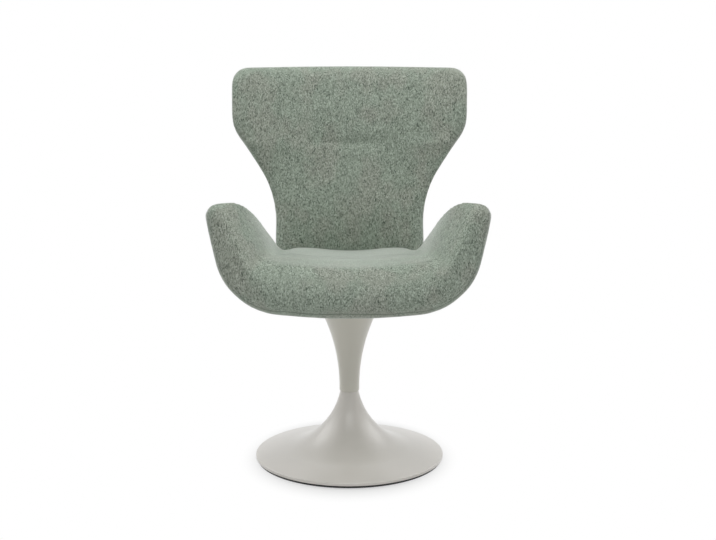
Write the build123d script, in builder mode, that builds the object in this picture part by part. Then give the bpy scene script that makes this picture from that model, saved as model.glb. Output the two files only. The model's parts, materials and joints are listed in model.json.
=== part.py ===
from build123d import *

import os
from dataclasses import dataclass, replace
from math import asin, atan2, ceil, cos, degrees, pi, radians, sin, sqrt, tan

os.makedirs("parts", exist_ok=True)

# Pedestal swivel armchair, in millimetres. The origin is on the floor on the swivel axis,
# +Z is up, the sitter faces -Y and +X is the right side of a front view.

# ---- clearances ----
soft_gap = 0.3              # between soft layers and what they lie on
back_gap = 0.6              # between the seat and the front face of the back
slip_gap = 0.05             # radial, a shaft in its bush
fit_gap = 0.1               # a rigid piece in its seat
turn_gap = 0.3              # between faces that turn past each other

# ---- trumpet foot ----
foot_radius = 225.0
foot_wall = 2.5
rim_top = 12.5              # height of the rim's upper corner
rim_round = 2.0
neck_radius = 21.3
neck_height = 165.0         # where the foot ends and the turning stem begins
neck_slope = 15.0           # degrees from upright, at the neck
rim_slope = 12.0            # degrees from level, at the rim
flare_radius = 175.0

# ---- what stands inside the foot ----
ring_height = 5.0
ring_inset = 4.0            # the ring stands back from the rim
ring_flange = 1.2
ring_width = 22.0
ledge_height = 2.0          # the ledge in the ring that the ballast rests on
ledge_width = 8.0
ballast_height = 9.0
ballast_bore = 16.0
column_radius = 17.5
column_wall = 2.5
column_drop = 12.0          # the column's top lies this far under the neck
flange_radius = 46.0
flange_height = 6.0
flange_chamfer = 1.5
flange_screw_circle = 32.0
flange_screw_radius = 4.0
flange_head_radius = 6.5
flange_head_height = 4.0
flange_socket_depth = 2.0
flange_screw_count = 4
sleeve_height = 9.0
sleeve_drop = 1.0

# ---- bearing ----
bush_length = 24.0
spindle_radius = 12.0
thrust_height = 3.0
thrust_radius = 18.0
lower_bush_height = 40.0    # underside of the lower bush above the floor
washer_height = 1.6
circlip_height = 1.5
circlip_depth = 1.2
circlip_width = 3.0
circlip_mouth = 7.0
spindle_tail = 8.0          # below the circlip

# ---- turning stem ----
neck_ring_height = 1.4
neck_ring_inset = 0.7
cone_wall = 2.5
cone_flare_radius = 415.0
cone_straight = 11.5        # upright length above the joint
cone_rim_margin = 2.0
spider_height = 8.0
spider_arm_width = 24.0
spider_hub_radius = 25.0
spider_hub_height = 34.0
spider_web_radius = 32.5    # of the round plate over the hub
spider_rib_width = 6.0
spider_rib_reach = 42.0
spider_rib_drop = 27.0
spider_screw_circle = 52.0
spider_screw_radius = 4.0
spider_screw_count = 4
spider_head_radius = 7.0
spider_head_height = 5.0
upper_spindle_radius = 15.0
spindle_seat_depth = 38.0   # length of the spindle inside the hub
tee_wall = 1.2
tee_flange_radius = 9.5
tee_flange_height = 1.6

# ---- seat and arms ----
seat_bottom = 394.7         # underside of the seat on the centre line
seat_front = -289.0         # foremost point of the seat
seat_back = 160.0           # front face of the back at seat height
roll_radius = 46.7          # front roll of the seat
roll_edge_round = 40.0      # upper edge of the front roll
arm_roll_radius = 31.0      # outer half of the arm's front face, at the top
arm_edge_round = 20.0       # inner edge of the arm's front face
bow_radius = 1300.0         # slight bow of the seat's underside
bow_half_width = 158.8
bend_radius = 106.0         # bend from the seat into the arm, at the roll's centre
arm_angle = 72.0            # degrees from level
arm_rise = 93.5             # straight length above the bend
arm_sweep = 30.0            # how far the arm's front edge leans back
roll_crown_angle = 5.0      # degrees, climb of the seat behind the roll
seat_rear_height = 85.0
seat_hump = 5.0             # extra height either side of the centre, at the rear
seat_hump_x = 120.0
seat_root_height = 84.0     # rear height where the arm begins
seat_rear_round = 18.0
seat_under_round = 12.0
arm_rear_thickness = 46.0
arm_root_x = 150.0
arm_root_reach = 34.1       # how level the rear edge leaves the seat
arm_tip_x = 243.2
arm_tip_y = -150.0
arm_tip_z = 615.6
arm_tip_dip = 41.6          # how steeply the rear edge meets the tip
arm_tip_reach = 80.0
arm_tip_splay = 32.7
tip_rise = 27.4             # height of the rounded tip over its last full section
sweep_power = 1.3           # how late the front edge starts to lean back
roll_power = 0.8            # how soon the front roll thins out in the arm
valley_share = 0.38         # share of the arm over which the seat's height fades
arm_roundness = 0.92        # of a full round on the rear edge of the arm
parting_share = 0.25        # where the arm pad meets the seat cushion

# ---- layers of the seat ----
outer_foam = 12.0
shell_wall = 11.0
layer_margin = 2.0          # the shell stands this far behind the front roll
shell_share = 0.9           # share of the arm that the shell reaches up
boss_drop = 1.3             # level bosses stand out this far under the shell
boss_height_inside = 7.0    # how far up into the shell the bosses run

# ---- back ----
back_top = 931.0            # before the rounded edge's flat
back_bottom = 377.0
back_thickness = 45.0
back_front_foam = 24.0
back_shell_wall = 10.0
back_edge_margin = 24.0     # the shell ends this far inside the edge
waist_half_width = 184.0
wing_half_width = 286.5
waist_corner = 618.0        # height where the side leaves the waist
wing_corner = 783.0         # height where the side reaches the wing
waist_round = 260.0
wing_round = 110.0
top_round = 40.0
bottom_round = 62.0
recline_start = 500.0
recline_radius = 700.0
recline_angle = 12.0
waist_plan_radius = 640.0
wing_plan_radius = 440.0
plan_start = 560.0          # heights between which the wings curl forward
plan_end = 860.0
crease_height = 743.0
crease_depth = 4.0
crease_half = 24.0
headrest_bulge = 9.0
lumbar_bulge = 7.0
lumbar_start = 470.0

# ---- bracket between the shells ----
bracket_width = 76.0
bracket_wall = 5.0
bracket_stand_off = 5.0     # behind the stem's boss
bracket_rise = 92.0         # up the back shell
bracket_bend = 8.0
bracket_pad_drop = 1.4      # the back shell's level pad stands out this far in front
bracket_screw_radius = 3.0
bracket_head_radius = 5.5
bracket_head_height = 3.0
bracket_screw_spread = 44.0
bracket_seat_pitch = 22.0
bracket_back_pitch = 32.0
bracket_screw_margin = 13.0

path_count = 15             # sections from the middle of the seat to the arm's tip
tip_angles = (25, 48, 70)       # degrees, sections of the arm's rounded tip
back_pitch = 34.0           # greatest distance between level sections of the back
back_end_angles = (24, 48, 72)
cut_over = 8.0              # how far a cutting shape stands out of what it cuts


def finish(piece, name):
    """Label a finished piece and write it."""
    piece.label = name
    export_step(piece, f"parts/{name}.step")


# ======================================================================
# Pedestal
# ======================================================================


def flange_screw_places():
    """Places of the screws of the column's flange."""
    return PolarLocations(flange_screw_circle, flange_screw_count)


def flare_points(depth):
    """Neck, corner and rim of the foot's outline, a depth inside the outer face."""
    steep = Vector(sin(radians(neck_slope)), -cos(radians(neck_slope)))
    shallow = Vector(cos(radians(rim_slope)), -sin(radians(rim_slope)))
    neck = Vector(neck_radius, neck_height) + depth * Vector(steep.Y, -steep.X)
    rim = Vector(foot_radius, rim_top) + depth * Vector(shallow.Y, -shallow.X)
    run = (rim - neck).cross(shallow).Z / steep.cross(shallow).Z
    return neck, neck + run * steep, rim


def at_height(start, end, height):
    """The point at a height on the line from start to end."""
    return start + (end - start) * ((height - start.Y) / (end.Y - start.Y))


def at_radius(start, end, radius):
    """The point at a radius on the line from start to end."""
    return start + (end - start) * ((radius - start.X) / (end.X - start.X))


outer_neck, outer_corner, outer_rim = flare_points(0)
inner_neck, inner_corner, inner_rim = flare_points(foot_wall)
inner_neck = at_height(inner_neck, inner_corner, neck_height)
inner_rim = at_radius(inner_corner, inner_rim, foot_radius - foot_wall)

with BuildPart() as trumpet_foot:
    with BuildSketch(Plane.XZ):
        with BuildLine():
            FilletPolyline(outer_neck, outer_corner, outer_rim, radius=flare_radius)
            Polyline(
                outer_rim,
                (foot_radius, ring_height),
                (foot_radius - foot_wall, ring_height),
                inner_rim,
            )
            FilletPolyline(
                inner_rim, inner_corner, inner_neck, radius=flare_radius + foot_wall
            )
            Line(inner_neck, outer_neck)
        make_face()
    revolve(axis=Axis.Z)
    rim_edges = trumpet_foot.edges().filter_by(GeomType.CIRCLE).sort_by(SortBy.RADIUS)
    fillet(rim_edges.group_by(SortBy.RADIUS)[-1].sort_by(Axis.Z)[-1], rim_round)
finish(trumpet_foot.part, "trumpet_foot")

# The dark ring fills the rim from below. The foot's wall and the ballast both stand on it.
ring_outer = foot_radius - ring_inset
ring_inner = ring_outer - ring_width
with BuildPart() as base_ring:
    with BuildSketch(Plane.XZ):
        with BuildLine():
            Polyline(
                (ring_inner, 0),
                (ring_outer, 0),
                (ring_outer, ring_height - ring_flange),
                (foot_radius - foot_wall / 2, ring_height - ring_flange),
                (foot_radius - foot_wall / 2, ring_height),
                (ring_inner + ledge_width, ring_height),
                (ring_inner + ledge_width, ledge_height),
                (ring_inner, ledge_height),
                close=True,
            )
        make_face()
    revolve(axis=Axis.Z)
finish(base_ring.part, "base_ring")

ballast_top = ledge_height + ballast_height
with BuildPart() as ballast_disc:
    with BuildSketch(Plane.XY.offset(ledge_height)):
        Circle(ring_inner + ledge_width - fit_gap)
        Circle(ballast_bore, mode=Mode.SUBTRACT)
    extrude(amount=ballast_height)
    with Locations((0, 0, ledge_height)):
        with flange_screw_places():
            Hole(flange_screw_radius + fit_gap)
    with BuildSketch(Plane.XY.offset(ledge_height)):
        with flange_screw_places():
            Circle(flange_head_radius + fit_gap)
    extrude(amount=flange_head_height + fit_gap, mode=Mode.SUBTRACT)
finish(ballast_disc.part, "ballast_disc")

column_top = neck_height - column_drop
column_bore = column_radius - column_wall
with BuildPart() as column_tube:
    with BuildSketch(Plane.XY.offset(ballast_top)):
        Circle(column_radius)
        Circle(column_bore, mode=Mode.SUBTRACT)
    extrude(amount=column_top - ballast_top)
finish(column_tube.part, "column_tube")

with BuildPart() as column_flange:
    with BuildSketch(Plane.XY.offset(ballast_top)):
        Circle(flange_radius)
        Circle(column_radius + fit_gap, mode=Mode.SUBTRACT)
        with flange_screw_places():
            Circle(flange_screw_radius + fit_gap, mode=Mode.SUBTRACT)
    extrude(amount=flange_height)
    top_edges = column_flange.edges().group_by(Axis.Z)[-1]
    chamfer(top_edges.sort_by(SortBy.LENGTH)[-1], length=flange_chamfer)
finish(column_flange.part, "column_flange")

flange_head_top = ledge_height + flange_head_height
with BuildPart() as flange_screws:
    with BuildSketch(Plane.XY.offset(ledge_height)):
        with flange_screw_places():
            Circle(flange_head_radius)
    extrude(amount=flange_head_height)
    with BuildSketch(Plane.XY.offset(flange_head_top)):
        with flange_screw_places():
            Circle(flange_screw_radius)
    extrude(amount=ballast_top + flange_height - flange_head_top)
    with BuildSketch(Plane.XY.offset(ledge_height)):
        with flange_screw_places():
            RegularPolygon(flange_screw_radius, 6)
    extrude(amount=flange_socket_depth, mode=Mode.SUBTRACT)
finish(flange_screws.part, "flange_screws")

sleeve_top = column_top - sleeve_drop
sleeve_radius = at_height(inner_neck, inner_corner, sleeve_top).X - fit_gap
with BuildPart() as neck_sleeve:
    with BuildSketch(Plane.XY.offset(sleeve_top - sleeve_height)):
        Circle(sleeve_radius)
        Circle(column_radius + fit_gap, mode=Mode.SUBTRACT)
    extrude(amount=sleeve_height)
finish(neck_sleeve.part, "neck_sleeve")


def bush(bottom):
    """A plain bearing bush in the column."""
    with BuildPart() as piece:
        with BuildSketch(Plane.XY.offset(bottom)):
            Circle(column_bore - fit_gap / 2)
            Circle(spindle_radius + slip_gap, mode=Mode.SUBTRACT)
        extrude(amount=bush_length)
    return piece.part


finish(bush(lower_bush_height), "lower_bush")
finish(bush(column_top - bush_length), "upper_bush")

with BuildPart() as thrust_washer:
    with BuildSketch(Plane.XY.offset(column_top)):
        Circle(thrust_radius)
        Circle(spindle_radius + fit_gap, mode=Mode.SUBTRACT)
    extrude(amount=thrust_height)
finish(thrust_washer.part, "thrust_washer")

with BuildPart() as neck_ring:
    with BuildSketch(Plane.XY.offset(neck_height)):
        Circle(neck_radius - neck_ring_inset)
        Circle(inner_neck.X - foot_wall / 2, mode=Mode.SUBTRACT)
    extrude(amount=neck_ring_height)
finish(neck_ring.part, "neck_ring")

# ======================================================================
# Turning stem
# ======================================================================

shell_underside = seat_bottom + outer_foam + soft_gap
boss_height = shell_underside - boss_drop
cone_bottom = neck_height + neck_ring_height + turn_gap
cone_bend = neck_height + cone_straight
cone_climb = boss_height - cone_bend


def spider_screw_places():
    """Places of the screws between the spider and the seat."""
    return PolarLocations(spider_screw_circle, spider_screw_count, start_angle=45)


def cone_line(wall):
    """Outline of the stem, a wall inside its outer face, from the joint up to the seat."""
    radius = cone_flare_radius + wall
    turn = degrees(asin(cone_climb / radius))
    upright = Line((neck_radius - wall, cone_bottom), (neck_radius - wall, cone_bend))
    flare = CenterArc((neck_radius + cone_flare_radius, cone_bend), radius, 180, -turn)
    return upright, flare


with BuildPart() as stem_cone:
    with BuildSketch(Plane.XZ):
        with BuildLine():
            outer_upright, outer_flare = cone_line(0)
            inner_upright, inner_flare = cone_line(cone_wall)
            Line(outer_upright @ 0, inner_upright @ 0)
            Line(outer_flare @ 1, inner_flare @ 1)
        make_face()
    revolve(axis=Axis.Z)
finish(stem_cone.part, "stem_cone")
cone_top_radius = (outer_flare @ 1).X

circlip_top = lower_bush_height - turn_gap - washer_height
spindle_bottom = circlip_top - circlip_height - spindle_tail
shoulder_height = column_top + thrust_height
spider_bottom = boss_height - spider_height
spindle_top = spider_bottom - spider_hub_height + spindle_seat_depth
groove_radius = spindle_radius - circlip_depth
with BuildPart() as swivel_spindle:
    with BuildSketch(Plane.XZ):
        with BuildLine():
            Polyline(
                (0, spindle_bottom),
                (spindle_radius, spindle_bottom),
                (spindle_radius, circlip_top - circlip_height),
                (groove_radius, circlip_top - circlip_height),
                (groove_radius, circlip_top),
                (spindle_radius, circlip_top),
                (spindle_radius, shoulder_height),
                (upper_spindle_radius, shoulder_height),
                (upper_spindle_radius, spindle_top),
                (0, spindle_top),
                close=True,
            )
        make_face()
    revolve(axis=Axis.Z)
    chamfer(
        swivel_spindle.edges().filter_by(GeomType.CIRCLE).sort_by(Axis.Z)[0],
        length=circlip_depth,
    )
finish(swivel_spindle.part, "swivel_spindle")

with BuildPart() as spindle_washer:
    with BuildSketch(Plane.XY.offset(circlip_top)):
        Circle(column_bore - turn_gap)
        Circle(spindle_radius + fit_gap, mode=Mode.SUBTRACT)
    extrude(amount=washer_height)
finish(spindle_washer.part, "spindle_washer")

circlip_radius = groove_radius + fit_gap + circlip_width
with BuildPart() as spindle_circlip:
    with BuildSketch(Plane.XY.offset(circlip_top - circlip_height)):
        Circle(circlip_radius)
        Circle(groove_radius + fit_gap, mode=Mode.SUBTRACT)
        with Locations((0, -circlip_radius)):
            Rectangle(circlip_mouth, 2 * circlip_width + cut_over, mode=Mode.SUBTRACT)
    extrude(amount=circlip_height)
finish(spindle_circlip.part, "spindle_circlip")

# The spider is a cast cross: four arms with ribs under them round a bored hub.
with BuildPart() as seat_spider:
    with BuildSketch(Plane.XY.offset(spider_bottom)):
        Circle(spider_web_radius)
        with PolarLocations(0, spider_screw_count // 2, start_angle=45, angular_range=180):
            SlotCenterToCenter(2 * spider_screw_circle, spider_arm_width)
    extrude(amount=spider_height)
    with BuildSketch(Plane.XY.offset(spider_bottom)):
        Circle(spider_hub_radius)
    extrude(amount=-spider_hub_height)
    for turn in (45, 135):
        with BuildSketch(Plane.XZ.rotated((0, 0, turn))):
            with BuildLine():
                Polyline(
                    (-spider_rib_reach, spider_bottom),
                    (spider_rib_reach, spider_bottom),
                    (spider_hub_radius, spider_bottom - spider_rib_drop),
                    (-spider_hub_radius, spider_bottom - spider_rib_drop),
                    close=True,
                )
            make_face()
        extrude(amount=spider_rib_width / 2, both=True)
    with BuildSketch(Plane.XY.offset(spider_bottom - spider_hub_height)):
        Circle(upper_spindle_radius + fit_gap)
    extrude(amount=spindle_seat_depth + fit_gap, mode=Mode.SUBTRACT)
    with Locations((0, 0, boss_height)):
        with spider_screw_places():
            Hole(spider_screw_radius + fit_gap)
finish(seat_spider.part, "seat_spider")

# ======================================================================
# Seat and arms
# ======================================================================
# The seat body follows a path: from the middle of the front roll outwards along a slight bow,
# round a bend and up the arm. At each station of the path stands a plane section from the
# front roll back to the rear edge. A share of 0 is the arm's root and 1 is its tip.

bow_angle = asin(bow_half_width / bow_radius)
bow_length = bow_radius * bow_angle
bow_rise = bow_radius * (1 - cos(bow_angle))
bend_length = bend_radius * (radians(arm_angle) - bow_angle)
arm_length = bend_length + arm_rise
roll_height = seat_bottom + roll_radius


def blend(start, end, share):
    """A value between start and end."""
    return start + (end - start) * share


def ease(share):
    """A share that starts and ends gently, held between 0 and 1."""
    share = min(1.0, max(0.0, share))
    return share**2 * (3 - 2 * share)


def spread(start, end, count):
    """Evenly spaced values from start to end."""
    return [blend(start, end, i / (count - 1)) for i in range(count)]


def back_face(x):
    """How far back the front face of the back lies beside the seat, at a distance x."""
    return seat_back - waist_plan_radius + sqrt(waist_plan_radius**2 - x**2)


def path_point(length):
    """Place on the roll's centre path seen from the front, and its angle from level."""
    if length <= bow_length:
        angle = length / bow_radius
        x = bow_radius * sin(angle)
        z = roll_height + bow_radius * (1 - cos(angle))
    elif length <= bow_length + bend_length:
        angle = bow_angle + (length - bow_length) / bend_radius
        x = bow_half_width + bend_radius * (sin(angle) - sin(bow_angle))
        z = roll_height + bow_rise + bend_radius * (cos(bow_angle) - cos(angle))
    else:
        bend_x, bend_z, angle = path_point(bow_length + bend_length)
        past = length - bow_length - bend_length
        x = bend_x + past * cos(angle)
        z = bend_z + past * sin(angle)
    return x, z, angle


@dataclass
class Station:
    """A section of the seat body: where its plane stands and its sizes in that plane."""

    corner: Vector          # where the front and the underside would meet
    along: Vector           # from the front roll to the rear edge
    inward: Vector          # from the underside to the sitter
    length: float
    roll: float
    edge_round: float
    rear: float
    rear_round: float
    under_round: float
    crown: float

    def plane(self):
        """The plane of the section, with its origin at the corner."""
        normal = self.along.cross(self.inward)
        return Plane(self.corner, x_dir=self.along, z_dir=normal)


def seat_rear(x):
    """Centre and thickness of the seat's rear end at a distance x."""
    thick = seat_rear_height + seat_hump * sin(pi / 2 * x / seat_hump_x) ** 2
    thick = blend(thick, seat_root_height, (x / bow_half_width) ** 6)
    bottom = seat_bottom + bow_radius - sqrt(bow_radius**2 - x**2)
    rear_x = x * blend(1, arm_root_x / bow_half_width, (x / bow_half_width) ** 2)
    rear_y = back_face(x) - back_gap - thick / 2
    return Vector(rear_x, rear_y, bottom + thick / 2), thick


def arm_rear(share):
    """Centre and thickness of the arm's rear edge, on a curve from the seat up to the tip."""
    root, root_thick = seat_rear(bow_half_width)
    thick = blend(root_thick, arm_rear_thickness, ease(share / valley_share))
    tip = Vector(arm_tip_x, arm_tip_y, arm_tip_z)
    root_handle = root + Vector(cos(bow_angle), 0, sin(bow_angle)) * arm_root_reach
    tip_handle = tip + Vector(-arm_tip_splay, arm_tip_reach, -arm_tip_dip)
    low, middle, high = (
        blend(root, root_handle, share),
        blend(root_handle, tip_handle, share),
        blend(tip_handle, tip, share),
    )
    return blend(blend(low, middle, share), blend(middle, high, share), share), thick


def section_between(front, centre, roll, edge_round, rear, upward, rounding):
    """The section from the centre of the front roll to the centre of the rear edge."""
    chord = centre - front
    along = chord.normalized()
    inward = (upward - along * upward.dot(along)).normalized()
    tilt = asin((roll - rear / 2) / chord.length)
    section_along = along * cos(tilt) + inward * sin(tilt)
    section_inward = inward * cos(tilt) - along * sin(tilt)
    arm_round = arm_roundness * rear / 2
    return Station(
        corner=front - (section_along + section_inward) * roll,
        along=section_along,
        inward=section_inward,
        length=chord.length * cos(tilt) + roll + rear / 2,
        roll=roll,
        edge_round=edge_round,
        rear=rear,
        rear_round=blend(seat_rear_round, arm_round, rounding),
        under_round=blend(seat_under_round, arm_round, rounding),
        crown=radians(blend(roll_crown_angle, 0, rounding)),
    )


def station(length):
    """The section at a length along the path, right of the middle."""
    x, z, angle = path_point(length)
    share = min(1.0, max(0.0, (length - bow_length) / arm_length))
    roll = blend(arm_roll_radius, roll_radius, (1 - share) ** roll_power)
    front = Vector(x, seat_front + roll_radius + arm_sweep * share**sweep_power, z)
    centre, rear = arm_rear(share) if share > 0 else seat_rear(x)
    upward = Vector(-sin(angle), 0, cos(angle))
    rounding = ease(share / valley_share)
    edge_round = blend(roll_edge_round, arm_edge_round, rounding)
    return section_between(front, centre, roll, edge_round, rear, upward, rounding)


def tip_station(angle):
    """A section of the arm's rounded tip, where its two edges run on and meet."""
    x, z, lean = path_point(bow_length + arm_length)
    rise = tip_rise * sin(radians(angle))
    size = cos(radians(angle))
    sweep = arm_sweep * sweep_power / arm_length
    front = Vector(x, seat_front + roll_radius + arm_sweep, z)
    front += Vector(cos(lean), sweep, sin(lean)) * (rise / sin(lean))
    centre = Vector(arm_tip_x, arm_tip_y, arm_tip_z)
    centre += Vector(arm_tip_splay, -arm_tip_reach, arm_tip_dip) * (rise / arm_tip_dip)
    upward = Vector(-sin(lean), 0, cos(lean))
    roll, edge_round, rear = (
        size * full for full in (arm_roll_radius, arm_edge_round, arm_rear_thickness)
    )
    return section_between(front, centre, roll, edge_round, rear, upward, 1)


def flipped(vector):
    """The same vector on the left side."""
    return Vector(-vector.X, vector.Y, vector.Z)


def mirrored(right):
    """The same section on the left side."""
    return replace(
        right,
        corner=flipped(right.corner),
        along=flipped(right.along),
        inward=flipped(right.inward),
    )


def both_sides(stations):
    """Sections from the left end to the right end, from those right of the middle."""
    return [mirrored(s) for s in reversed(stations)] + [station(0.0)] + stations


def foam_section(s):
    """Outline of the whole upholstered body at a station."""
    start = Vector(s.roll, 0)
    slant = s.roll * sqrt(0.5)
    face_end = Vector(0, 2 * s.roll - s.edge_round)
    roll_end = face_end + Vector(1 - sin(s.crown), cos(s.crown)) * s.edge_round
    top = Vector(s.length - s.rear_round, s.rear)
    edge = Vector(s.length, s.rear - s.rear_round)
    under = Vector(s.length - s.under_round, 0)
    with BuildSketch(s.plane()) as outline:
        with BuildLine():
            ThreePointArc(start, (s.roll - slant, s.roll - slant), (0, s.roll))
            Line((0, s.roll), face_end)
            TangentArc(face_end, roll_end, tangent=(0, 1))
            TangentArc(roll_end, top, tangent=(cos(s.crown), sin(s.crown)))
            RadiusArc(top, edge, s.rear_round)
            Line(edge, (s.length, s.under_round))
            RadiusArc((s.length, s.under_round), under, s.under_round)
            Line(under, start)
        make_face()
    return outline.sketch


def layer_section(s, bottom, top, margin):
    """Outline of a layer between two heights over the underside."""
    with BuildSketch(s.plane()) as outline:
        with BuildLine():
            front = s.roll + layer_margin + margin
            rear = s.length - s.under_round - layer_margin - margin
            Polyline((front, bottom), (rear, bottom), (rear, top), (front, top), close=True)
        make_face()
    return outline.sketch


path_end = bow_length + arm_length
shell_length = bow_length + arm_length * shell_share
foam_stations = [station(length) for length in spread(0, path_end, path_count)[1:]]
foam_stations += [tip_station(angle) for angle in tip_angles]
shell_stations = [station(length) for length in spread(0, shell_length, path_count)[1:]]
recess_stations = [
    station(length) for length in spread(0, shell_length + soft_gap, path_count)[1:]
]
shell_low = outer_foam + soft_gap
shell_high = shell_low + shell_wall

# The steel strap that joins the shells lies under the seat shell and before the back shell.
strap_half = bracket_width / 2
strap_front = cone_top_radius + cone_rim_margin + bracket_stand_off
strap_rear = seat_back + back_front_foam + soft_gap - bracket_pad_drop
strap_bottom = boss_height - bracket_wall
strap_top = boss_height + bracket_rise
strap_pad_end = seat_back - seat_under_round - 2 * layer_margin
boss_radius = cone_top_radius + cone_rim_margin


def strap_side(gap):
    """Side view of the strap, grown all round by a gap."""
    inner = strap_rear - bracket_wall - gap
    with BuildSketch(Plane.YZ) as outline:
        with BuildLine():
            low = FilletPolyline(
                (strap_front - gap, strap_bottom - gap),
                (strap_rear + gap, strap_bottom - gap),
                (strap_rear + gap, strap_top + gap),
                radius=bracket_bend + bracket_wall + gap,
            )
            high = FilletPolyline(
                (strap_front - gap, boss_height + gap),
                (inner, boss_height + gap),
                (inner, strap_top + gap),
                radius=bracket_bend - gap,
            )
            Line(low @ 0, high @ 0)
            Line(low @ 1, high @ 1)
        make_face()
    return outline.sketch


strap_back_row = strap_top - bracket_screw_margin - bracket_back_pitch / 2
strap_seat_row = strap_front + bracket_screw_margin + bracket_seat_pitch / 2


def strap_screw_places(row, pitch):
    """Places of four screws in the strap, in two lines a pitch apart about a row."""
    side = bracket_screw_spread / 2
    near, far = row - pitch / 2, row + pitch / 2
    return Locations((-side, near), (side, near), (-side, far), (side, far))


with BuildPart() as seat_foam:
    loft([foam_section(s) for s in both_sides(foam_stations)])
    loft(
        [
            layer_section(s, -cut_over, shell_high + soft_gap, 0)
            for s in both_sides(recess_stations)
        ],
        mode=Mode.SUBTRACT,
    )
    extrude(strap_side(soft_gap), amount=strap_half + soft_gap, both=True, mode=Mode.SUBTRACT)

parting = station(bow_length + arm_length * parting_share)
right_parting = parting.plane()
left_parting = mirrored(parting).plane()

with BuildPart() as seat_cushion:
    add(seat_foam.part)
    split(bisect_by=right_parting, keep=Keep.BOTTOM)
    split(bisect_by=left_parting, keep=Keep.TOP)
finish(seat_cushion.part, "seat_cushion")

with BuildPart() as arm_pad_right:
    add(seat_foam.part)
    split(bisect_by=right_parting, keep=Keep.TOP)
finish(arm_pad_right.part, "arm_pad_right")

with BuildPart() as arm_pad_left:
    add(seat_foam.part)
    split(bisect_by=left_parting, keep=Keep.BOTTOM)
finish(arm_pad_left.part, "arm_pad_left")

shell_top = seat_bottom + shell_high
tee_flange_bottom = shell_top - fit_gap - tee_flange_height
tee_barrel_radius = spider_screw_radius + fit_gap + tee_wall
seat_head_bottom = shell_top - fit_gap - bracket_head_height
with BuildPart() as seat_shell:
    loft([layer_section(s, shell_low, shell_high, soft_gap) for s in both_sides(shell_stations)])
    with BuildSketch(Plane.XY.offset(boss_height)):
        Circle(boss_radius)
        with Locations((0, (strap_front + strap_pad_end) / 2)):
            Rectangle(bracket_width, strap_pad_end - strap_front)
    extrude(amount=boss_height_inside)
    with BuildSketch(Plane.XY.offset(boss_height - cut_over)):
        with spider_screw_places():
            Circle(tee_barrel_radius + fit_gap)
        with strap_screw_places(strap_seat_row, bracket_seat_pitch):
            Circle(bracket_screw_radius + fit_gap)
    extrude(amount=shell_wall + 2 * cut_over, mode=Mode.SUBTRACT)
    with BuildSketch(Plane.XY.offset(tee_flange_bottom)):
        with spider_screw_places():
            Circle(tee_flange_radius + fit_gap)
    extrude(amount=cut_over, mode=Mode.SUBTRACT)
    with BuildSketch(Plane.XY.offset(seat_head_bottom)):
        with strap_screw_places(strap_seat_row, bracket_seat_pitch):
            Circle(bracket_head_radius + fit_gap)
    extrude(amount=cut_over, mode=Mode.SUBTRACT)
finish(seat_shell.part, "seat_shell")

with BuildPart() as outer_pad:
    loft([layer_section(s, 0, outer_foam, soft_gap) for s in both_sides(shell_stations)])
    with BuildSketch(Plane.XY.offset(seat_bottom - cut_over)):
        Circle(boss_radius + soft_gap)
    extrude(amount=outer_foam + 2 * cut_over, mode=Mode.SUBTRACT)
    with BuildSketch(Plane.XY.offset(strap_bottom - soft_gap)):
        with Locations((0, strap_front - soft_gap)):
            Rectangle(
                bracket_width + 2 * soft_gap,
                strap_rear - strap_front,
                align=(Align.CENTER, Align.MIN),
            )
    extrude(amount=outer_foam + cut_over, mode=Mode.SUBTRACT)
finish(outer_pad.part, "outer_pad")

with BuildPart() as tee_nuts:
    with BuildSketch(Plane.XY.offset(tee_flange_bottom)):
        with spider_screw_places():
            Circle(tee_flange_radius)
    extrude(amount=tee_flange_height)
    with BuildSketch(Plane.XY.offset(boss_height)):
        with spider_screw_places():
            Circle(tee_barrel_radius)
    extrude(amount=tee_flange_bottom - boss_height)
    with BuildSketch(Plane.XY.offset(boss_height)):
        with spider_screw_places():
            Circle(spider_screw_radius + slip_gap)
    extrude(amount=shell_top - boss_height, mode=Mode.SUBTRACT)
finish(tee_nuts.part, "tee_nuts")

with BuildPart() as spider_screws:
    with BuildSketch(Plane.XY.offset(spider_bottom - spider_head_height)):
        with spider_screw_places():
            RegularPolygon(spider_head_radius, 6)
    extrude(amount=spider_head_height)
    with BuildSketch(Plane.XY.offset(spider_bottom)):
        with spider_screw_places():
            Circle(spider_screw_radius)
    extrude(amount=tee_flange_bottom - spider_bottom)
finish(spider_screws.part, "spider_screws")

# ======================================================================
# Strap between the shells
# ======================================================================

with BuildPart() as back_bracket:
    extrude(strap_side(0), amount=strap_half, both=True)
    with BuildSketch(Plane.XY.offset(strap_bottom - cut_over)):
        with strap_screw_places(strap_seat_row, bracket_seat_pitch):
            Circle(bracket_screw_radius + fit_gap)
    extrude(amount=bracket_wall + 2 * cut_over, mode=Mode.SUBTRACT)
    with BuildSketch(Plane.XZ.offset(-strap_rear - cut_over)):
        with strap_screw_places(strap_back_row, bracket_back_pitch):
            Circle(bracket_screw_radius + fit_gap)
    extrude(amount=bracket_wall + 2 * cut_over, mode=Mode.SUBTRACT)
finish(back_bracket.part, "back_bracket")

with BuildPart() as seat_bracket_screws:
    with BuildSketch(Plane.XY.offset(strap_bottom)):
        with strap_screw_places(strap_seat_row, bracket_seat_pitch):
            Circle(bracket_screw_radius)
    extrude(amount=seat_head_bottom - strap_bottom)
    with BuildSketch(Plane.XY.offset(seat_head_bottom)):
        with strap_screw_places(strap_seat_row, bracket_seat_pitch):
            Circle(bracket_head_radius)
            RegularPolygon(bracket_screw_radius, 6, mode=Mode.SUBTRACT)
    extrude(amount=bracket_head_height)
finish(seat_bracket_screws.part, "seat_bracket_screws")

# ======================================================================
# Back
# ======================================================================
# Level sections, bottom to top. Each is a band bent round the sitter with rounded ends.

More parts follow.
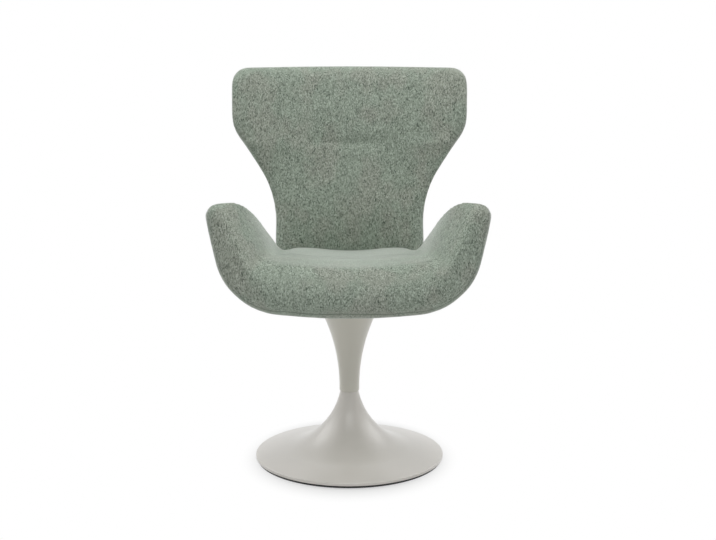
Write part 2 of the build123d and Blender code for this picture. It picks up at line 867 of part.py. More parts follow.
side_lean = atan2(wing_half_width - waist_half_width, wing_corner - waist_corner)
waist_arc_start = waist_corner - waist_round * tan(side_lean / 2)
wing_arc_end = wing_corner + wing_round * tan(side_lean / 2)


def half_width(height):
    """Half the width of the back at a height."""
    waist_arc_end = waist_arc_start + waist_round * sin(side_lean)
    wing_arc_start = wing_arc_end - wing_round * sin(side_lean)
    if height < waist_arc_start:
        width = waist_half_width
    elif height < waist_arc_end:
        width = waist_half_width + corner_inset(waist_round, height - waist_arc_start)
    elif height < wing_arc_start:
        width = waist_half_width + (height - waist_corner) * tan(side_lean)
    else:
        width = wing_half_width - corner_inset(wing_round, max(0, wing_arc_end - height))
    width -= corner_inset(top_round, max(0, height - back_top + top_round))
    return width - corner_inset(bottom_round, max(0, back_bottom + bottom_round - height))


def corner_inset(radius, past):
    """How far a rounded corner has drawn in, a distance past its start."""
    return radius - sqrt(radius**2 - past**2)


def face_depth(height):
    """How far back the middle of the back's front face lies at a height."""
    turn = radians(recline_angle)
    arc_rise = recline_radius * sin(turn)
    past = max(0, height - recline_start)
    depth = seat_back + corner_inset(recline_radius, min(past, arc_rise))
    return depth + max(0, past - arc_rise) * tan(turn)


def plan_radius(height):
    """Radius of the front face, seen from above, at a height."""
    share = ease((height - plan_start) / (plan_end - plan_start))
    return blend(waist_plan_radius, wing_plan_radius, share)


def bulge(height):
    """How far the padding swells forward at a height."""
    from_crease = abs(height - crease_height)
    if height >= crease_height:
        swell = headrest_bulge * sin(pi * from_crease / (back_top - crease_height))
    else:
        share = min(1, from_crease / (crease_height - lumbar_start))
        swell = lumbar_bulge * sin(pi * share)
    dip = cos(pi / 2 * min(1, from_crease / crease_half)) ** 2
    return swell - crease_depth * dip


def half_thickness(height):
    """Half the thickness of the back, thinner in its rounded upper and lower edges."""
    full = back_thickness / 2
    past = max(0, back_bottom + full - height, height - back_top + full)
    return sqrt(full**2 - past**2)


def on_arc(height, radius, angle):
    """Point at an angle from the middle on an arc about the back's centre."""
    centre = face_depth(height) - plan_radius(height)
    return Vector(radius * sin(angle), centre + radius * cos(angle))


def back_section(height):
    """Outline of the whole back at a height."""
    half = half_thickness(height)
    radius = plan_radius(height) + back_thickness / 2
    end = asin((half_width(height) - half) / radius)
    swell = bulge(height) * half * 2 / back_thickness
    slant = sqrt(0.5)
    cap = on_arc(height, radius, end)
    outward = Vector(cos(end), -sin(end))
    rearward = Vector(sin(end), cos(end))
    with BuildSketch(Plane.XY.offset(height)) as outline:
        with BuildLine():
            front = ThreePointArc(
                on_arc(height, radius - half, -end),
                on_arc(height, radius - half - swell, 0),
                on_arc(height, radius - half, end),
            )
            rear = ThreePointArc(
                on_arc(height, radius + half, -end),
                on_arc(height, radius + half, 0),
                on_arc(height, radius + half, end),
            )
            for side, start in ((1, front @ 1), (-1, front @ 0)):
                tip = mirror_x(cap + outward * half, side)
                ThreePointArc(
                    start, mirror_x(cap + (outward - rearward) * (half * slant), side), tip
                )
                ThreePointArc(
                    tip,
                    mirror_x(cap + (outward + rearward) * (half * slant), side),
                    mirror_x(cap + rearward * half, side),
                )
        make_face()
    return outline.sketch


def mirror_x(point, side):
    """The same point on the side given by a sign."""
    return Vector(point.X * side, point.Y)


def back_layer(height, front, rear, margin):
    """Outline of a layer between two distances behind the front face."""
    near = plan_radius(height) + front
    far = plan_radius(height) + rear
    end = asin((half_width(height) - back_edge_margin) / (plan_radius(height) + back_front_foam))
    end -= margin / near
    with BuildSketch(Plane.XY.offset(height)) as outline:
        with BuildLine():
            inner = ThreePointArc(*(on_arc(height, near, turn) for turn in (-end, 0, end)))
            outer = ThreePointArc(*(on_arc(height, far, turn) for turn in (-end, 0, end)))
            Line(inner @ 0, outer @ 0)
            Line(inner @ 1, outer @ 1)
        make_face()
    return outline.sketch


def levels(low, high, pitch):
    """Evenly spaced heights from low to high, at most a pitch apart."""
    return spread(low, high, 1 + ceil((high - low) / pitch))


def back_heights(margin):
    """Heights of the level sections, a margin inside the back's bottom and top."""
    crease_low = crease_height - crease_half
    crease_high = crease_height + crease_half
    lower = levels(back_bottom + margin, crease_low, back_pitch)
    middle = levels(crease_low, crease_high, crease_half / 2)
    upper = levels(crease_high, back_top - margin, back_pitch)
    return lower + middle[1:-1] + upper


back_round = back_thickness / 2
round_rises = [back_round * (1 - sin(radians(angle))) for angle in back_end_angles]
back_levels = back_heights(back_round)
back_levels = [back_bottom + rise for rise in reversed(round_rises)] + back_levels
back_levels += [back_top - rise for rise in round_rises]

back_shell_front = back_front_foam + soft_gap
back_shell_rear = back_shell_front + back_shell_wall
shell_levels = back_heights(back_edge_margin + soft_gap)

with BuildPart() as back_pad:
    loft([back_section(height) for height in back_levels])
    loft(
        [
            back_layer(height, back_front_foam, back_thickness + cut_over, 0)
            for height in back_heights(back_edge_margin)
        ],
        mode=Mode.SUBTRACT,
    )
    extrude(strap_side(soft_gap), amount=strap_half + soft_gap, both=True, mode=Mode.SUBTRACT)
    with BuildSketch(Plane.XY.offset(back_bottom + back_edge_margin)):
        with Locations((0, strap_rear - soft_gap)):
            Rectangle(
                bracket_width + 2 * soft_gap,
                back_shell_wall,
                align=(Align.CENTER, Align.MIN),
            )
    extrude(amount=strap_top + soft_gap - back_bottom - back_edge_margin, mode=Mode.SUBTRACT)
finish(back_pad.part, "back_pad")

back_head_front = seat_back + back_shell_rear - bracket_head_height - layer_margin
with BuildPart() as back_shell:
    loft(
        [back_layer(height, back_shell_front, back_shell_rear, soft_gap) for height in shell_levels]
    )
    with BuildSketch(Plane.XY.offset(shell_levels[0])):
        with Locations((0, strap_rear)):
            Rectangle(
                bracket_width, back_shell_wall / 2, align=(Align.CENTER, Align.MIN)
            )
    extrude(amount=strap_top - shell_levels[0])
    with BuildSketch(Plane.XZ.offset(-strap_rear + cut_over)):
        with strap_screw_places(strap_back_row, bracket_back_pitch):
            Circle(bracket_screw_radius + fit_gap)
    extrude(amount=-back_shell_wall - 2 * cut_over, mode=Mode.SUBTRACT)
    with BuildSketch(Plane.XZ.offset(-back_head_front)):
        with strap_screw_places(strap_back_row, bracket_back_pitch):
            Circle(bracket_head_radius + fit_gap)
    extrude(amount=-cut_over, mode=Mode.SUBTRACT)
finish(back_shell.part, "back_shell")

with BuildPart() as back_bracket_screws:
    with BuildSketch(Plane.XZ.offset(-strap_rear + bracket_wall)):
        with strap_screw_places(strap_back_row, bracket_back_pitch):
            Circle(bracket_screw_radius)
    extrude(amount=strap_rear - bracket_wall - back_head_front)
    with BuildSketch(Plane.XZ.offset(-back_head_front)):
        with strap_screw_places(strap_back_row, bracket_back_pitch):
            Circle(bracket_head_radius)
            RegularPolygon(bracket_screw_radius, 6, mode=Mode.SUBTRACT)
    extrude(amount=-bracket_head_height)
finish(back_bracket_screws.part, "back_bracket_screws")

with BuildPart() as back_rear_pad:
    loft(
        [
            back_layer(height, back_shell_rear + soft_gap, back_thickness, soft_gap)
            for height in shell_levels
        ]
    )
finish(back_rear_pad.part, "back_rear_pad")
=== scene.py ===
"""Pedestal swivel armchair: covers, painted pedestal, inner parts and studio."""

import json
from math import asin, cos, degrees, pi, radians, sin, tan

import bmesh
import bpy
import numpy as np
from bpy.props import FloatProperty, FloatVectorProperty, IntProperty, PointerProperty
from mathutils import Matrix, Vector


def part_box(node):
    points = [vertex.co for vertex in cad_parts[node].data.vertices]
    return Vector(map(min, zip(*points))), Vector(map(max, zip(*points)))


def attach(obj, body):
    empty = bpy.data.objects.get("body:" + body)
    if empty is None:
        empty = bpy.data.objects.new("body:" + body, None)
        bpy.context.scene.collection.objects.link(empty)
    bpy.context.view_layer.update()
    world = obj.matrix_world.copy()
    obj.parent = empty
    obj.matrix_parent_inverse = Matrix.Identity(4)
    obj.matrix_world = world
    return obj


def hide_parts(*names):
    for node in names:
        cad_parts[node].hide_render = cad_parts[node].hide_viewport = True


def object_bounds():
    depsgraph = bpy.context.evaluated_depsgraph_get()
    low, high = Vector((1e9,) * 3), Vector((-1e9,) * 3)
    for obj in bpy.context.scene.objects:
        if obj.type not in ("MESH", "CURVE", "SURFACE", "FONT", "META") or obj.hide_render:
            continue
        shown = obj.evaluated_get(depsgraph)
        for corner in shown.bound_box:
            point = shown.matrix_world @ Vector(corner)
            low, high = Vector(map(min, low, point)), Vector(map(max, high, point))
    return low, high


bl_info = {
    "name": "Pedestal Swivel Armchair",
    "version": (1, 0, 0),
    "blender": (4, 5, 0),
    "location": "View3D > Sidebar > Armchair",
    "description": "Dresses the armchair's frame with tweed covers and a painted pedestal",
    "category": "Add Mesh",
}

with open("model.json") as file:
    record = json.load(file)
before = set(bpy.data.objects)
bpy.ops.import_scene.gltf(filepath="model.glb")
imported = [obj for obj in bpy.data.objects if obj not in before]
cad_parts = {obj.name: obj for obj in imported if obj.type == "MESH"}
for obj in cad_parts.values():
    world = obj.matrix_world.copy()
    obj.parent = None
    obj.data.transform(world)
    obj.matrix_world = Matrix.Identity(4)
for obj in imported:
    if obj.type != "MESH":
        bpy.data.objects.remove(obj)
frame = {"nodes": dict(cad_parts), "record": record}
cad_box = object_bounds()

PEDESTAL = "pedestal"
SWIVEL = "swivel_part"

LEVEL = "level"     # kept at the points of a cover: 0 on upright cloth, 1 on level cloth
SEAM = "seam"       # kept there too: the distance to the nearest seam

# Places on the CAD solids that the covers are shaped by, in metres.
BOW_RADIUS = 1.3    # slight bow of the seat across its width
BOW_END = 0.2       # half the width that bows
ARM_START = 0.165   # half the width of the seat between the arms
ARM_FULL = 0.215    # where the arms have left the seat
BEND_X = 0.146      # middle of the bend from the seat into an arm
BEND_Z = 0.557
ARM_LEAN = radians(72)  # how steep the arms stand
OVERLAP = 0.0006    # the soft solids are grown until they meet

CREASE_WIDTH = 0.024    # from the crease to where its dip ends
CREASE_LIP = 0.012      # height over which the head rolls into the crease
CREASE_FULL = 0.4       # share of its reach over which the crease is full
CREASE_END = 1.3        # and where it has run out
HEAD_HEIGHT = 0.188     # from the crease to the top of the head pad
HEAD_BULGE = 0.0036     # how far the head pad stands out
WAIST_BULGE = 0.0045    # how far the pad below the crease stands out
EDGE_BOW = 0.004        # how far the top edge falls towards the corners

NECK_SLOPE = 75     # slope of the foot at its neck, in degrees from level
RIM_SLOPE = 12      # and at its rim

foot_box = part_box("trumpet_foot")
cone_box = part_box("stem_cone")
base_ring_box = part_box("base_ring")
seat_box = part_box("seat_cushion")
back_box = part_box("back_pad")


# ---------------------------------------------------------------------------
# Settings
# ---------------------------------------------------------------------------


def length(name, about, default, **limits):
    """A size in metres."""
    return FloatProperty(
        name=name, description=about, default=default, unit="LENGTH", precision=4, **limits
    )


def share(name, about, default, top=1.0):
    """A number from 0 to a top value."""
    return FloatProperty(
        name=name, description=about, default=default, min=0.0, max=top, subtype="FACTOR"
    )


def colour(name, about, default):
    """A linear colour."""
    return FloatVectorProperty(
        name=name, description=about, default=default, subtype="COLOR", min=0.0, max=1.0, size=3
    )


class ChairTweedSettings(bpy.types.PropertyGroup):
    """The cloth of the covers."""

    ground: colour("Ground", "Colour of most of the yarn", (0.30, 0.352, 0.288))
    dark: colour("Dark yarn", "Colour of the dark flecks", (0.060, 0.082, 0.064))
    light: colour("Light yarn", "Colour of the light flecks", (0.50, 0.575, 0.49))
    warm: colour("Warm patches", "Cast of the warmer patches", (0.316, 0.347, 0.290))
    fleck_width: length("Fleck width", "Width of one fleck across the grain", 0.0015)
    fleck_length: length("Fleck length", "Length of one fleck along the grain", 0.0036)
    relief: length("Relief", "Height of the nubs of the weave", 0.0007)
    # Painted sheen: the share by which the cloth's colour is drawn to the light yarn colour where
    # the cloth is seen edge-on.
    painted_sheen: share("Hair", "How much the pale hair shows where the cloth is seen edge-on", 0.75)


class ChairPaintSettings(bpy.types.PropertyGroup):
    """The paint of the pedestal."""

    # Painted light: the foot's paint is given lighter than the stem's, for the brighter light that
    # falls on the foot.
    foot: colour("Foot paint", "Colour of the satin paint of the foot", (0.72, 0.69, 0.64))
    stem: colour("Stem paint", "Colour of the satin paint of the stem", (0.66, 0.64, 0.56))
    trim: colour("Dark trim", "Colour of the rings", (0.02, 0.02, 0.021))
    gloss: share("Roughness", "Roughness of the paint", 0.38)


class ChairPaddingSettings(bpy.types.PropertyGroup):
    """How the padded covers are formed."""

    voxel: length("Voxel", "Size of the remesh of a cover", 0.006)
    slim: length("Slim", "How much smaller the cover is before it swells", 0.003)
    swell: length("Swell", "How far the padding may swell", 0.0045)
    pressure: FloatProperty(
        name="Pressure", description="Pressure of the padding on its cover", default=4.0
    )
    frames: IntProperty(
        name="Frames", description="Frames that the padding settles over", default=20
    )


class ChairSeatSettings(bpy.types.PropertyGroup):
    """The front roll of the seat."""

    roll_round: length("Roll round", "Radius of the seat's front roll over its top", 0.066)
    roll_crest: length("Roll crest", "Height of the front roll's top, before it is lifted", 0.49)
    roll_lift: length("Roll lift", "How far the front of the seat is plumped up", 0.010)
    roll_back: length("Roll back", "How far back the plump front reaches in full", -0.17)
    roll_end: length("Roll end", "How far back the plump front reaches at all", -0.03)


class ChairBackSettings(bpy.types.PropertyGroup):
    """The crease of the back."""

    crease_height: length("Crease height", "Height of the sewn crease", 0.743)
    crease_depth: length("Crease depth", "Depth of the sewn crease", 0.004)
    crease_reach: length("Crease reach", "Half the length of the crease", 0.115)


class ChairPedestalSettings(bpy.types.PropertyGroup):
    """Sizes of the turned metal pedestal."""

    foot_radius: length("Foot radius", "Radius of the foot's rim", foot_box[1].x)
    neck_radius: length("Neck radius", "Radius of the neck at the joint", 0.0213)
    neck_height: length("Neck height", "Height of the joint in the neck", foot_box[1].z)
    rim_top: length("Rim top", "Height of the rim's upper corner", 0.0125)
    flare_radius: length("Flare", "Radius of the foot's flare", 0.175)
    cone_flare: length("Upper flare", "Radius of the upper stem's flare", 0.415)
    wall: length("Wall", "Wall of the spun metal", 0.0025)
    shadow_gap: length("Shadow gap", "How much of the dark ring shows under the rim", 0.0008)
    straight: length("Straight", "Upright length of the stem over the joint", 0.0115)
    edge: length("Edge", "Bevel on the stem's lower edge", 0.0006)
    segments: IntProperty(name="Segments", description="Steps round a turned piece", default=192)


class ChairStudioSettings(bpy.types.PropertyGroup):
    """Camera, lamps and floor."""

    distance: length("Camera distance", "From the swivel axis to the camera", 2.748)
    height: length("Camera height", "Height of the camera", 0.9454)
    aside: length("Camera aside", "The camera's place to the right of the axis", 0.0206)
    dip: FloatProperty(
        name="Camera dip",
        description="How far the camera looks down",
        default=radians(10.09),
        subtype="ANGLE",
    )
    lens: FloatProperty(
        name="Lens", description="Focal length in millimetres", default=36 * 1186 / 716
    )
    top_light: FloatProperty(name="Top lamp", description="Power of the top lamp", default=30.0)
    front_light: FloatProperty(
        name="Front lamp", description="Power of the high front lamp", default=26.5
    )
    side_light: FloatProperty(
        name="Side lamps", description="Power of each side lamp", default=9.0
    )
    rear_light: FloatProperty(
        name="Rear lamps", description="Power of each lamp behind the chair", default=16.0
    )
    sky: FloatProperty(name="Sky", description="Strength of the even light", default=0.30)
    floor: colour("Floor", "Colour of the floor", (0.80, 0.80, 0.80))


class ChairSettings(bpy.types.PropertyGroup):
    """All settings of the chair."""

    tweed: PointerProperty(type=ChairTweedSettings)
    paint: PointerProperty(type=ChairPaintSettings)
    padding: PointerProperty(type=ChairPaddingSettings)
    seat: PointerProperty(type=ChairSeatSettings)
    back: PointerProperty(type=ChairBackSettings)
    pedestal: PointerProperty(type=ChairPedestalSettings)
    studio: PointerProperty(type=ChairStudioSettings)


# ---------------------------------------------------------------------------
# Shader sums
# ---------------------------------------------------------------------------


class Value:
    """A number in a node tree, with the usual operators."""

    def __init__(self, graph, socket):
        self.graph = graph
        self.socket = socket

    def combine(self, operation, first, second):
        """A Math node on two values."""
        return self.graph.value("ShaderNodeMath", {"operation": operation}, {0: first, 1: second})

    def __add__(self, other):
        return self.combine("ADD", self, other)

    def __radd__(self, other):
        return self.combine("ADD", other, self)

    def __sub__(self, other):
        return self.combine("SUBTRACT", self, other)

    def __rsub__(self, other):
        return self.combine("SUBTRACT", other, self)

    def __mul__(self, other):
        return self.combine("MULTIPLY", self, other)

    def __rmul__(self, other):
        return self.combine("MULTIPLY", other, self)

    def __abs__(self):
        return self.combine("ABSOLUTE", self, 0.0)

    def clamped(self):
        """The value held between 0 and 1."""
        return self.graph.value("ShaderNodeClamp", {}, {"Value": self, "Min": 0.0, "Max": 1.0})

    def between(self, low, high):
        """0 at or before low, 1 at or past high."""
        return self.graph.value(
            "ShaderNodeMapRange",
            {"interpolation_type": "SMOOTHSTEP"},
            {"Value": self, "From Min": low, "From Max": high},
        )


class Graph:
    """A node tree under construction."""

    def __init__(self, tree):
        self.nodes = tree.nodes
        self.links = tree.links

    def node(self, kind, settings=None, inputs=None):
        """Add a node: its settings first, then the values or links of its sockets."""
        node = self.nodes.new(kind)
        for key, setting in (settings or {}).items():
            if key == "stops":
                set_stops(node.color_ramp, setting)
            else:
                setattr(node, key, setting)
        for key, given in (inputs or {}).items():
            self.join(given, node.inputs[key])
        return node

    def join(self, given, target):
        """Link a value or socket to a socket, or set the socket to a number or colour."""
        if isinstance(given, Value):
            self.links.new(given.socket, target)
        elif isinstance(given, bpy.types.NodeSocket):
            self.links.new(given, target)
        elif target.type == "RGBA":
            target.default_value = (*given[:3], 1.0)
        else:
            target.default_value = given

    def value(self, kind, settings=None, inputs=None, output=0):
        """Add a node and take one of its outputs as a number."""
        return Value(self, self.node(kind, settings, inputs).outputs[output])

    def seen(self):
        """1 for what the camera sees, straight or in gloss or glass, and 0 for other light."""
        rays = self.node("ShaderNodeLightPath")
        direct, glossy, through = (
            Value(self, rays.outputs[f"Is {kind} Ray"])
            for kind in ("Camera", "Glossy", "Transmission")
        )
        return (direct + glossy + through).clamped()


class Finish(Graph):
    """A material under construction round one Principled BSDF."""

    def __init__(self, name, **constants):
        self.material = bpy.data.materials.new(name)
        self.material.use_nodes = True
        super().__init__(self.material.node_tree)
        self.shader = self.nodes["Principled BSDF"]
        for key, number in constants.items():
            self.join(number, self.shader.inputs[key.replace("_", " ")])

    def place(self, scale=(1, 1, 1), offset=(0, 0, 0)):
        """Object coordinates, scaled."""
        source = self.node("ShaderNodeTexCoord").outputs["Object"]
        return self.node(
            "ShaderNodeMapping", {}, {"Vector": source, "Scale": scale, "Location": offset}
        ).outputs[0]

    def noise(self, scale, detail=2.0, roughness=0.5, offset=(0, 0, 0)):
        """Noise at so many lumps per metre along each axis."""
        return self.value(
            "ShaderNodeTexNoise",
            {"noise_dimensions": "3D"},
            {
                "Vector": self.place(scale, offset),
                "Scale": 1.0,
                "Detail": detail,
                "Roughness": roughness,
            },
        )

    def nubs(self, scale):
        """Yarn nubs, so many per metre along each axis: a chance tone and a round height."""
        cells = self.node(
            "ShaderNodeTexVoronoi",
            {"voronoi_dimensions": "3D", "feature": "F1"},
            {"Vector": self.place(scale), "Scale": 1.0, "Randomness": 0.9},
        )
        tone = self.value(
            "ShaderNodeSeparateColor", {}, {"Color": cells.outputs["Color"]}, "Red"
        )
        return tone, 1 - Value(self, cells.outputs["Distance"])

    def attribute(self, name):
        """A number kept at the points of the mesh."""
        return self.value("ShaderNodeAttribute", {"attribute_name": name}, {}, "Fac")

    def ramp(self, factor, stops):
        """A colour ramp on a value."""
        return self.node("ShaderNodeValToRGB", {"stops": stops}, {"Fac": factor}).outputs["Color"]

    def mix(self, factor, first, second, blend="MIX"):
        """Two colours mixed."""
        return self.node(
            "ShaderNodeMix",
            {"data_type": "RGBA", "blend_type": blend},
            {0: factor, 6: first, 7: second},
        ).outputs[2]

    def bump(self, height, distance, strength):
        """A Bump node that feeds the shader's Normal."""
        bump = self.node(
            "ShaderNodeBump", {}, {"Height": height, "Distance": distance, "Strength": strength}
        )
        self.feed("Normal", bump.outputs[0])

    def feed(self, key, source):
        """Link a colour or value to the shader."""
        self.join(source, self.shader.inputs[key])


def set_stops(ramp, stops):
    """Give a colour ramp its stops: (place, colour) pairs."""
    while len(ramp.elements) < len(stops):
        ramp.elements.new(1.0)
    for element, (place, tint) in zip(ramp.elements, stops):
        element.position = place
        element.color = (*tint[:3], 1.0)


def shaded(tint, share):
    """A colour times a number."""
    return tuple(channel * share for channel in tint)


def tweed_finish(name, settings):
    """Sage tweed: nubs of flecked yarn along the grain, warm patches, a painted sheen where the
    cloth is seen edge-on, and sewn seams.
    """
    finish = Finish(
        name, Roughness=0.95, Specular_IOR_Level=0.15, Sheen_Weight=1.0, Sheen_Roughness=0.3
    )
    across, along = 1 / settings.fleck_width, 1 / settings.fleck_length
    level = finish.attribute(LEVEL)
    tone, nub = (
        upright + (flat - upright) * level
        for upright, flat in zip(
            finish.nubs((across, across, along)), finish.nubs((across, along, across))
        )
    )
    fuzz = finish.noise((1800, 1800, 1800), 2.0, 0.6)
    mottle = finish.noise((62, 62, 50), 2.0, 0.5, (7.1, 3.3, 1.7))
    patch = finish.noise((14, 14, 11), 2.0, 0.5, (2.2, 8.1, 4.4))
    blend = tone * 0.70 + fuzz * 0.30 + (mottle - 0.5) * 0.24
    dark, ground, light = settings.dark, settings.ground, settings.light
    yarn = finish.ramp(blend, ((0.10, dark), (0.38, ground), (0.62, ground), (0.86, light)))
    cast = tuple(warm / plain for warm, plain in zip(settings.warm, ground))
    warmth = finish.mix(patch.between(0.42, 0.62), (1, 1, 1), cast)
    cloth = finish.mix(1.0, yarn, warmth, "MULTIPLY")
    # Painted sheen: where the cloth is seen edge-on, its colour is drawn towards the light yarn
    # colour, a highlight painted into the base colour.
    edge_on = finish.value("ShaderNodeLayerWeight", {}, {"Blend": 0.5}, "Facing")
    sheen_painted_cloth = finish.mix(edge_on.between(0.62, 0.95) * settings.painted_sheen, cloth, light)
    gap = abs(finish.attribute(SEAM))
    open_cloth = gap.between(0.0002, 0.0013) * 0.5 + 0.5
    finish.feed("Base Color", finish.mix(open_cloth, dark, sheen_painted_cloth))
    pull = gap.between(0.0, 0.004)
    finish.bump(nub * 0.75 + fuzz * 0.35 + pull * 1.2, settings.relief, 0.6)
    return finish.material


def paint_finish(name, paint, gloss):
    """Satin powder coat: an even colour with a fine orange peel."""
    finish = Finish(name, Specular_IOR_Level=0.5, Coat_Weight=0.8, Coat_Roughness=0.28)
    peel = finish.noise((900, 900, 900))
    haze = finish.noise((9, 9, 9), 3.0)
    finish.feed("Base Color", finish.mix(haze * 0.5, paint, shaded(paint, 0.93)))
    finish.feed("Roughness", gloss + (haze - 0.5) * 0.12)
    finish.bump(peel, 0.00006, 0.35)
    return finish.material


def plain_finish(name, tint, roughness, metallic=0.0, grain=400.0, vary=0.12, relief=0.00004):
    """Metal or plastic with a fine grain and uneven gloss."""
    finish = Finish(name, Metallic=metallic)
    coarse = grain / 20
    grains = finish.noise((grain, grain, grain), 3.0, 0.6)
    haze = finish.noise((coarse, coarse, coarse))
    finish.feed("Base Color", finish.mix(haze * 0.6, tint, shaded(tint, 1 - vary)))
    finish.feed("Roughness", roughness + (grains - 0.5) * 0.2)
    finish.bump(grains, relief, 0.5)
    return finish.material


# ---------------------------------------------------------------------------
# Modelling helpers
# ---------------------------------------------------------------------------


def deselect():
    """Leave edit mode with nothing selected."""
    if bpy.context.object and bpy.context.object.mode != "OBJECT":
        bpy.ops.object.mode_set(mode="OBJECT")
    bpy.ops.object.select_all(action="DESELECT")


def pick(piece):
    """Make a piece the only selected and the active object."""
    deselect()
    piece.select_set(True)
    bpy.context.view_layer.objects.active = piece


def modify(piece, kind, **settings):
    """Add a modifier and apply it."""
    pick(piece)
    modifier = piece.modifiers.new(kind.title(), kind)
    for key, setting in settings.items():
        setattr(modifier, key, setting)
    bpy.ops.object.modifier_apply(modifier=modifier.name)


def take_place(piece):
    """Put the object's place into its mesh."""
    pick(piece)
    bpy.ops.object.transform_apply(location=True, rotation=True, scale=True)


def dress(piece, body, slot, material, *nodes):
    """Give a piece its material and body, and hide the CAD nodes that it stands for. The slot is
    not used.
    """
    piece.data.materials.clear()
    piece.data.materials.append(material)
    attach(piece, body)
    if nodes:
        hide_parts(*nodes)


def turned(name, profile, segments):
    """A turned piece: a ring extruded and resized from point to point of its outline."""
    deselect()
    radius, height = profile[0]
    bpy.ops.mesh.primitive_circle_add(
        vertices=segments, radius=radius, fill_type="NOTHING", location=(0, 0, height)
    )
    piece = bpy.context.object
    piece.name = piece.data.name = name
    take_place(piece)
    bpy.ops.object.mode_set(mode="EDIT")
    bpy.ops.mesh.select_all(action="SELECT")
    for next_radius, next_height in profile[1:]:
        bpy.ops.mesh.extrude_edges_move(
            TRANSFORM_OT_translate={"value": (0, 0, next_height - height)}
        )
        bpy.ops.transform.resize(
            value=(next_radius / radius, next_radius / radius, 1),
            center_override=(0, 0, next_height),
        )
        radius, height = next_radius, next_height
    bpy.ops.mesh.select_all(action="SELECT")
    bpy.ops.mesh.remove_doubles(threshold=1e-6)
    bpy.ops.mesh.normals_make_consistent(inside=False)
    bpy.ops.object.mode_set(mode="OBJECT")
    return piece


def smooth(piece, angle=35):
    """Shade a piece smooth, apart from its sharp edges."""
    pick(piece)
    bpy.ops.object.shade_smooth_by_angle(angle=radians(angle))


def arc(centre, radius, start, end, steps):
    """Points of an arc, angles in degrees."""
    return [
        (
            centre[0] + radius * cos(radians(start + (end - start) * i / steps)),
            centre[1] + radius * sin(radians(start + (end - start) * i / steps)),
        )
        for i in range(steps + 1)
    ]


# ---------------------------------------------------------------------------
# Covers
# ---------------------------------------------------------------------------


def joined_copy(name, nodes):
    """One object from copies of CAD solids, each with its doubles merged."""
    deselect()
    for node in nodes:
        piece = bpy.data.objects.new(name, frame["nodes"][node].data.copy())
        bpy.context.scene.collection.objects.link(piece)
        piece.select_set(True)
        if node == nodes[0]:
            bpy.context.view_layer.objects.active = piece
    bpy.ops.object.join()
    piece = bpy.context.view_layer.objects.active
    piece.name = piece.data.name = name
    bpy.ops.object.mode_set(mode="EDIT")
    bpy.ops.mesh.select_all(action="SELECT")
    bpy.ops.mesh.remove_doubles(threshold=1e-5)
    bpy.ops.object.mode_set(mode="OBJECT")
    return piece


def keep_largest(piece):
    """Delete all but the largest connected part."""
    mesh = bmesh.new()
    mesh.from_mesh(piece.data)
    mesh.verts.ensure_lookup_table()
    seen = [False] * len(mesh.verts)
    best = []
    for start in mesh.verts:
        if seen[start.index]:
            continue
        group = []
        stack = [start]
        seen[start.index] = True
        while stack:
            vertex = stack.pop()
            group.append(vertex)
            for edge in vertex.link_edges:
                other = edge.other_vert(vertex)
                if not seen[other.index]:
                    seen[other.index] = True
                    stack.append(other)
        if len(group) > len(best):
            best = group
    chosen = set(best)
    bmesh.ops.delete(mesh, geom=[v for v in mesh.verts if v not in chosen], context="VERTS")
    mesh.to_mesh(piece.data)
    mesh.free()


def points_of(piece):
    """The points of a mesh as an array."""
    points = np.empty(len(piece.data.vertices) * 3)
    piece.data.vertices.foreach_get("co", points)
    return points.reshape(-1, 3)


def set_points(piece, points):
    """Move the points of a mesh."""
    piece.data.vertices.foreach_set("co", np.asarray(points).ravel())
    piece.data.update()


def normals_of(piece):
    """The outward normals at the points of a mesh as an array."""
    normals = np.empty(len(piece.data.vertices) * 3)
    piece.data.vertex_normals.foreach_get("vector", normals)
    return normals.reshape(-1, 3)


def keep(piece, name, values):
    """Keep a number at each point of a mesh for its material."""
    layer = piece.data.attributes.new(name, "FLOAT", "POINT")
    layer.data.foreach_set("value", np.asarray(values, dtype=np.float32))


def fade(values, start, end):
    """0 at or before start, 1 at or past end, smooth between."""
    share = np.clip((values - start) / (end - start), 0, 1)
    return share**2 * (3 - 2 * share)


def evened(piece, values, rounds):
    """Values at the points of a mesh, drawn a few times towards their neighbours' mean."""
    edges = np.empty(len(piece.data.edges) * 2, dtype=np.int32)
    piece.data.edges.foreach_get("vertices", edges)
    first, second = edges[0::2], edges[1::2]
    size = len(values)
    count = np.maximum(np.bincount(edges, minlength=size), 1)
    for _ in range(rounds):
        total = np.bincount(first, values[second], size) + np.bincount(second, values[first], size)
        values = (values + total / count) / 2
    return values


def settle(piece, padding, free):
    """Swell a cover with cloth under pressure, each point as far as it is free, from 0 to 1."""
    free = free[:, None]
    outward = normals_of(piece)
    slim = points_of(piece) - outward * padding.slim * free
    set_points(piece, slim)
    pick(piece)
    modifier = piece.modifiers.new("Cloth", "CLOTH")
    cloth = modifier.settings
    cloth.quality = 5
    cloth.mass = 0.3
    cloth.tension_stiffness = cloth.compression_stiffness = 40
    cloth.bending_stiffness = 5
    cloth.use_pressure = True
    cloth.uniform_pressure_force = padding.pressure
    cloth.effector_weights.gravity = 0
    modifier.collision_settings.use_self_collision = False
    modifier.point_cache.frame_end = padding.frames
    scene = bpy.context.scene
    for step in range(1, padding.frames + 1):
        scene.frame_set(step)
    bpy.ops.object.modifier_apply(modifier=modifier.name)
    scene.frame_set(1)
    out = np.clip(np.sum((points_of(piece) - slim) * outward, axis=1), 0, padding.swell)
    set_points(piece, slim + outward * evened(piece, out, 16)[:, None] * free)


